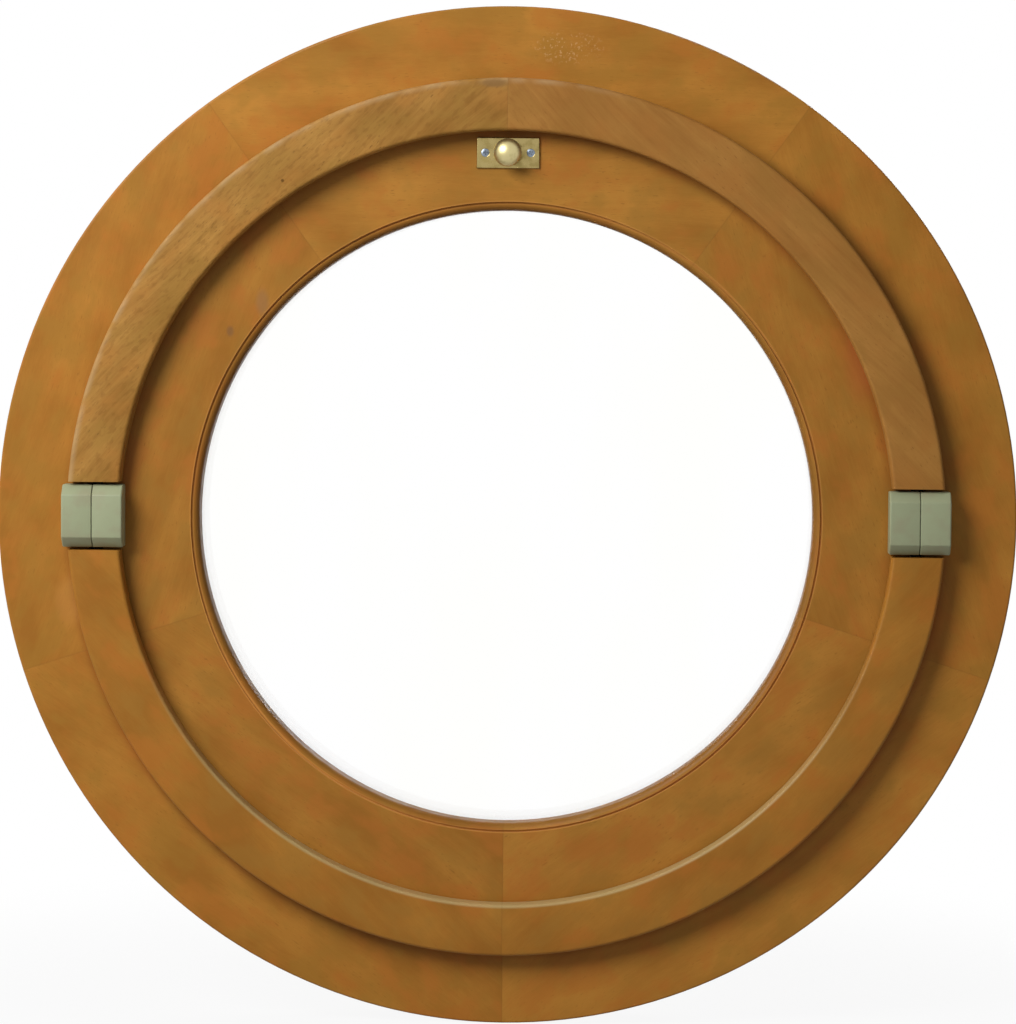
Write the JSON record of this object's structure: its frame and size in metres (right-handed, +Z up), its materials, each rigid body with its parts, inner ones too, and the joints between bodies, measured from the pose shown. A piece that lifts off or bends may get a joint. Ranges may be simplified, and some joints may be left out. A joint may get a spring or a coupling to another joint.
{
  "type": "round pivot window",
  "caption": "Round timber window with a ring frame and a glazed ring sash that tilts on two side pivots, with a brass knob catch.",
  "frame": {"origin": "on the window's axis, halfway through the thickness of the frame's timber", "axes": "+X to the right and +Z up as seen from the room, +Y outward through the wall"},
  "size_m": [0.7, 0.0935, 0.7],
  "materials": {
    "bead_timber": "clear satin lacquer on honey-brown softwood",
    "block_plastic": "green packer plastic",
    "bolt_brass": "turned brass",
    "catch_brass": "polished brass, a little dulled",
    "cover_plastic": "grey-green moulded plastic",
    "dowel_timber": "plain turned beech",
    "edge_sealant": "black sealant",
    "frame_timber": "clear satin lacquer on honey-brown softwood",
    "glazing_tape": "dark grey foam tape",
    "latch_steel": "plated steel",
    "pane_glass": "clear float glass",
    "pivot_casting": "zinc-plated casting",
    "pivot_polymer": "natural bearing plastic",
    "pivot_steel": "turned steel",
    "sash_timber": "clear satin lacquer on honey-brown softwood",
    "screw_zinc": "bluish zinc plate",
    "seal_rubber": "black extruded seal",
    "spacer_aluminium": "mill finish",
    "stop_timber": "clear satin lacquer on honey-brown softwood"
  },
  "bodies": {
    "frame": {"frame_dowels": "dowel_timber", "frame_segment_left": "frame_timber", "frame_segment_lower_left": "frame_timber", "frame_segment_lower_right": "frame_timber", "frame_segment_right": "frame_timber", "frame_segment_top": "frame_timber", "pivot_frame_base_left": "pivot_casting", "pivot_frame_base_right": "pivot_casting", "pivot_frame_cover_left": "cover_plastic", "pivot_frame_cover_right": "cover_plastic", "pivot_frame_screws": "screw_zinc", "pivot_pin_left": "pivot_steel", "pivot_pin_right": "pivot_steel", "seal_inside_lower": "seal_rubber", "seal_outside_upper": "seal_rubber", "stop_inside_lower_left": "stop_timber", "stop_inside_lower_right": "stop_timber", "stop_outside_upper_left": "stop_timber", "stop_outside_upper_right": "stop_timber", "strike_plate": "catch_brass", "strike_plate_screws": "screw_zinc"},
    "sash": {"bead_pins": "latch_steel", "bolt_case": "latch_steel", "bolt_case_screws": "screw_zinc", "catch_plate": "catch_brass", "catch_plate_screws": "screw_zinc", "friction_washers": "pivot_polymer", "glass_edge_seal": "edge_sealant", "glass_spacer": "spacer_aluminium", "glazing_bead_1": "bead_timber", "glazing_bead_2": "bead_timber", "glazing_bead_3": "bead_timber", "glazing_bead_4": "bead_timber", "glazing_tape_inner": "glazing_tape", "glazing_tape_outer": "glazing_tape", "inner_pane": "pane_glass", "outer_pane": "pane_glass", "pivot_bushes": "pivot_polymer", "pivot_sash_base_left": "pivot_casting", "pivot_sash_base_right": "pivot_casting", "pivot_sash_cover_left": "cover_plastic", "pivot_sash_cover_right": "cover_plastic", "pivot_sash_screws": "screw_zinc", "sash_dowels": "dowel_timber", "sash_segment_left": "sash_timber", "sash_segment_lower_left": "sash_timber", "sash_segment_lower_right": "sash_timber", "sash_segment_right": "sash_timber", "sash_segment_top": "sash_timber", "seal_inside_upper": "seal_rubber", "seal_outside_lower": "seal_rubber", "setting_blocks": "block_plastic", "stop_inside_upper_left": "stop_timber", "stop_inside_upper_right": "stop_timber", "stop_outside_lower_left": "stop_timber", "stop_outside_lower_right": "stop_timber"},
    "knob": {"catch_knob": "catch_brass", "catch_spindle": "latch_steel"},
    "bolt": {"latch_bolt": "bolt_brass"}
  },
  "joints": [
    {"name": "sash_pivot", "type": "hinge", "parent": "frame", "child": "sash", "pos_m": [0, -0.037, 0], "axis": [1, 0, 0], "range_deg": [0, 45]},
    {"name": "knob_turn", "type": "hinge", "parent": "sash", "child": "knob", "pos_m": [0, 0, 0.25025], "axis": [0, 1, 0], "range_deg": [0, 300]},
    {"name": "bolt_throw", "type": "slide", "parent": "sash", "child": "bolt", "axis": [0, 0, 1], "range_m": [0, 0.01571]}
  ],
  "couplings": [
    {"joint": "knob_turn", "follows": "bolt_throw", "rad_per_m": 333.33}
  ]
}
